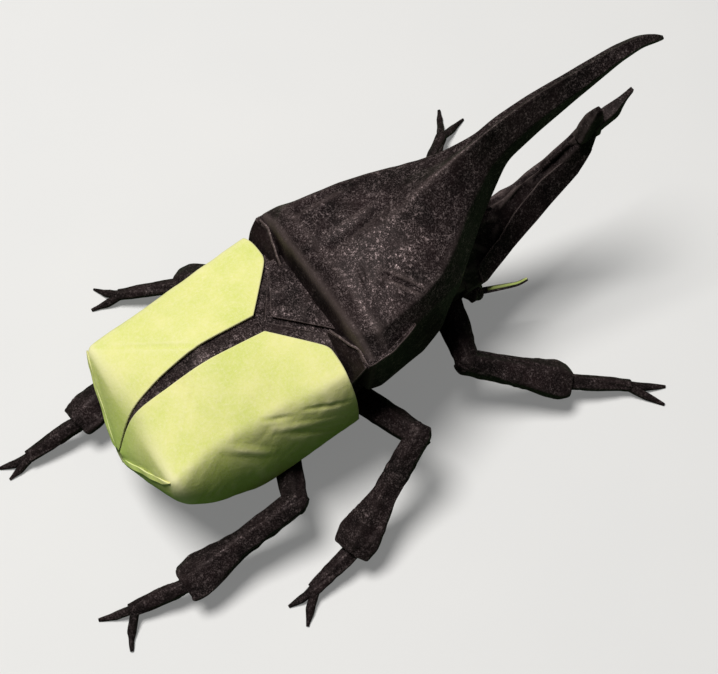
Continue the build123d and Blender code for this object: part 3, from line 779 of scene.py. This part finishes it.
# Legs, in mm: hip, knee, ankle, fork and the two claw tips
legs = {
    "right_front": ((-6, -40, 22.5), (-24.6, -34.8, 20.0), (-38.6, -58.6, 7.0), (-47.2, -73.5, 3.2),
                    (-51.8, -82.6), (-55.9, -78.9)),
    "right_middle": ((-13, -6, 16), (-36.8, -11.0, 25.4), (-47.1, 15.1, 7.0), (-49.0, 27.4, 3.2),
                     (-48.5, 34.2), (-55.3, 32.9)),
    "right_hind": ((-13, 14, 13), (-32.6, 21.6, 18.0), (-32.4, 53.6, 7.0), (-29.3, 67.4, 3.2),
                   (-26.1, 74.8), (-37.4, 71.7)),
    "left_front": ((6, -40, 22.5), (24.0, -42.0, 19.0), (38.3, -66.7, 7.0), (49.8, -79.9, 3.2),
                   (53.1, -90.3), (60.0, -86.2)),
    "left_middle": ((13, -6, 16), (28.6, -6.0, 20.0), (43.9, 13.2, 7.0), (52.5, 28.0, 3.2),
                    (53.8, 36.1), (59.7, 32.5)),
    "left_hind": ((13, 14, 13), (27.0, 26.0, 17.0), (20.9, 56.0, 7.0), (21.3, 70.4, 3.2),
                  (19.6, 77.2), (23.8, 78.0)),
}
legSize = dict(  # widths and heights, then shares of the shin or of a width, and lengths past a joint
    femur={"front": (9.2, 6.8), "middle": (7.6, 6.8), "hind": (7.4, 6.8)}, knee=(6.6, 6.8),
    shin={"front": (8.8, 7.2), "middle": (6.8, 6.4), "hind": (6.8, 6.4)},
    cuff=(12.0, 8.8), tarsus=(4.6, 3.8), fork=(3.8, 2.8), claw=(2.6, 2.4), tip=(0.9, 1.0),
    cuffStart={"front": 0.55, "middle": 0.5, "hind": 0.5}, cuffReach=1.4, cuffSpan=2.2, kneeRound=0.55,
    cuffClose=0.84, cuffMouth=0.6, recess=1.6, femurPast=(1.0, 2.7), shinBefore=(2.9, 1.1), tarsusBefore=4.0,
    # shinShine: a little more mica on the shins than on the other limbs, a painted light and shade
    clawBefore=1.5, clawSunk=0.2, wrap=0.4, clawWrap=0.15, shinShine=0.65, flow=10,
)


# limbs through the knee and ankle: femur, shin with a cuff that fills out to the ankle, tarsus and two claws
def leg(name, hip, knee, ankle, fork, inner, outer, seed):
    size = legSize
    pair = name.split("_")[1]
    hip, knee, ankle, fork = (np.array(place, float) for place in (hip, knee, ankle, fork))
    thigh, shin, foot = knee - hip, ankle - knee, fork - ankle
    thighWay, shinWay, footWay = (way / np.linalg.norm(way) for way in (thigh, shin, foot))
    cuff, kneeEnd = np.array(size["cuff"]), np.array(size["knee"]) * size["kneeRound"]
    past, end = size["femurPast"]
    limb(name + "_femur",
         [(hip, size["femur"][pair], thigh), (hip + thigh / 2, size["femur"][pair], thigh),
          (knee + thighWay * past, size["knee"], thigh), (knee + thighWay * end, kneeEnd, thigh)],
         seed, flow=size["flow"])
    start, full = size["shinBefore"]
    cuffAt = size["cuffStart"][pair]
    cuffFull = (size["cuffReach"] + cuffAt) / size["cuffSpan"]
    limb(name + "_shin",
         [(knee - shinWay * start, kneeEnd, shin), (knee - shinWay * full, size["knee"], shin),
          (knee + shin * cuffAt, size["shin"][pair], shin), (knee + shin * cuffFull, size["cuff"], shin),
          (ankle, cuff * size["cuffClose"], shin),
          (ankle - shinWay * size["recess"], cuff * size["cuffMouth"], shin)],
         seed + 1, around=96, along=130, flow=size["flow"], wraps=3, wrap=size["wrap"],
         shine=size["shinShine"])
    limb(name + "_tarsus",
         [(ankle - footWay * size["tarsusBefore"], size["tarsus"], foot),
          ((ankle + fork) / 2, size["tarsus"], foot), (fork, size["fork"], foot)],
         seed + 2, around=60, wraps=2, wrap=size["wrap"])
    for index, claw in enumerate((inner, outer)):
        tip = np.array((*claw, size["tip"][1] / 2 - size["clawSunk"]))
        bend = (fork + tip) / 2
        bend[2] = size["claw"][1] / 2 - size["clawSunk"]
        limb(f"{name}_claw_{index}",
             [(fork - footWay * size["clawBefore"], size["claw"], bend - fork),
              (bend, size["claw"], tip - fork), (tip, size["tip"], tip - bend)],
             seed + 3 + index, around=40, along=50, wraps=1, wrap=size["clawWrap"])


for number, (name, places) in enumerate(legs.items()):
    leg(name, *places, seed=100 + 10 * number)
print("legs made")

# Floor, in m: pale to the camera, darker and greenish as a reflector
ground = dict(half=3, pale=(0.60, 0.605, 0.60, 1), paler=(0.63, 0.63, 0.62, 1), bounce=(0.06, 0.12, 0.05, 1),
              dark=(0, 0, 0, 1), glow=0.3, mottle=(60.0, 2.0), grain=8.0, rough=0.8, roughSpread=0.1)
floorMesh = bpy.data.meshes.new("floor")
reach = ground["half"]
floorMesh.from_pydata([(-reach, -reach, 0), (reach, -reach, 0), (reach, reach, 0), (-reach, reach, 0)], [],
                      [(0, 1, 2, 3)])
floor = bpy.data.objects.new("floor", floorMesh)
bpy.context.scene.collection.objects.link(floor)
floorLook, floorShader, floorPlace = newMaterial("floor_paper")
seen = floorPlace.node("ShaderNodeLightPath")
pale = floorPlace.noise(*ground["mottle"]).mix(ground["pale"], ground["paler"])
feed(floorShader, "Base Color", seen.mix(ground["bounce"], pale))
feed(floorShader, "Emission Color", seen.mix(ground["dark"], pale))
floorShader.inputs["Emission Strength"].default_value = ground["glow"]
feed(floorShader, "Roughness", floorPlace.noise(ground["grain"]) * ground["roughSpread"] + ground["rough"])
floorMesh.materials.append(floorLook)

# World and camera: the way back to the camera from its azimuth and elevation, in degrees and m
sky = dict(colour=(0.95, 0.97, 1.0, 1), strength=0.035)
world = bpy.data.worlds.new("studio")
bpy.context.scene.world = world
world.use_nodes = True
world.node_tree.nodes["Background"].inputs["Color"].default_value = sky["colour"]
world.node_tree.nodes["Background"].inputs["Strength"].default_value = sky["strength"]

shot = dict(azimuth=237.0, elevation=60.168, distance=0.31628, target=(-0.0079, -0.00088, 0.025), lens=62.72,
            sensor=36)
azimuth, elevation = np.radians((shot["azimuth"], shot["elevation"]))
back = Vector((np.sin(azimuth) * np.cos(elevation), -np.cos(azimuth) * np.cos(elevation), np.sin(elevation)))
right = Vector((np.cos(azimuth), np.sin(azimuth), 0))
up = back.cross(right)
target = Vector(shot["target"])


# a round area lamp at a distance from the target along a way, turned to look back at it
def lamp(name, way, distance, size, power, colour):
    light = bpy.data.lights.new(name, "AREA")
    light.shape = "DISK"
    light.size = size
    light.energy = power
    light.color = colour
    stand = bpy.data.objects.new(name, light)
    stand.location = target + Vector(way).normalized() * distance
    stand.rotation_euler = Vector(way).to_track_quat("Z", "Y").to_euler()
    bpy.context.scene.collection.objects.link(stand)


lamp("key", back * 0.8 - right * 0.25 + up * 0.545, distance=1.2, size=0.5, power=15.6,
     colour=(1.0, 0.98, 0.96))
lamp("fill", back * 0.9 + right * 0.3 - up * 0.2, distance=1.2, size=0.9, power=0.1,
     colour=(0.95, 0.97, 1.0))

camera = bpy.data.cameras.new("camera")
camera.lens = shot["lens"]
camera.sensor_width = shot["sensor"]
holder = bpy.data.objects.new("camera", camera)
holder.location = target + back * shot["distance"]
holder.rotation_euler = Matrix((right, up, back)).transposed().to_euler()
bpy.context.scene.collection.objects.link(holder)
bpy.context.scene.camera = holder
bpy.context.scene.view_settings.view_transform = "Standard"
print("studio made")
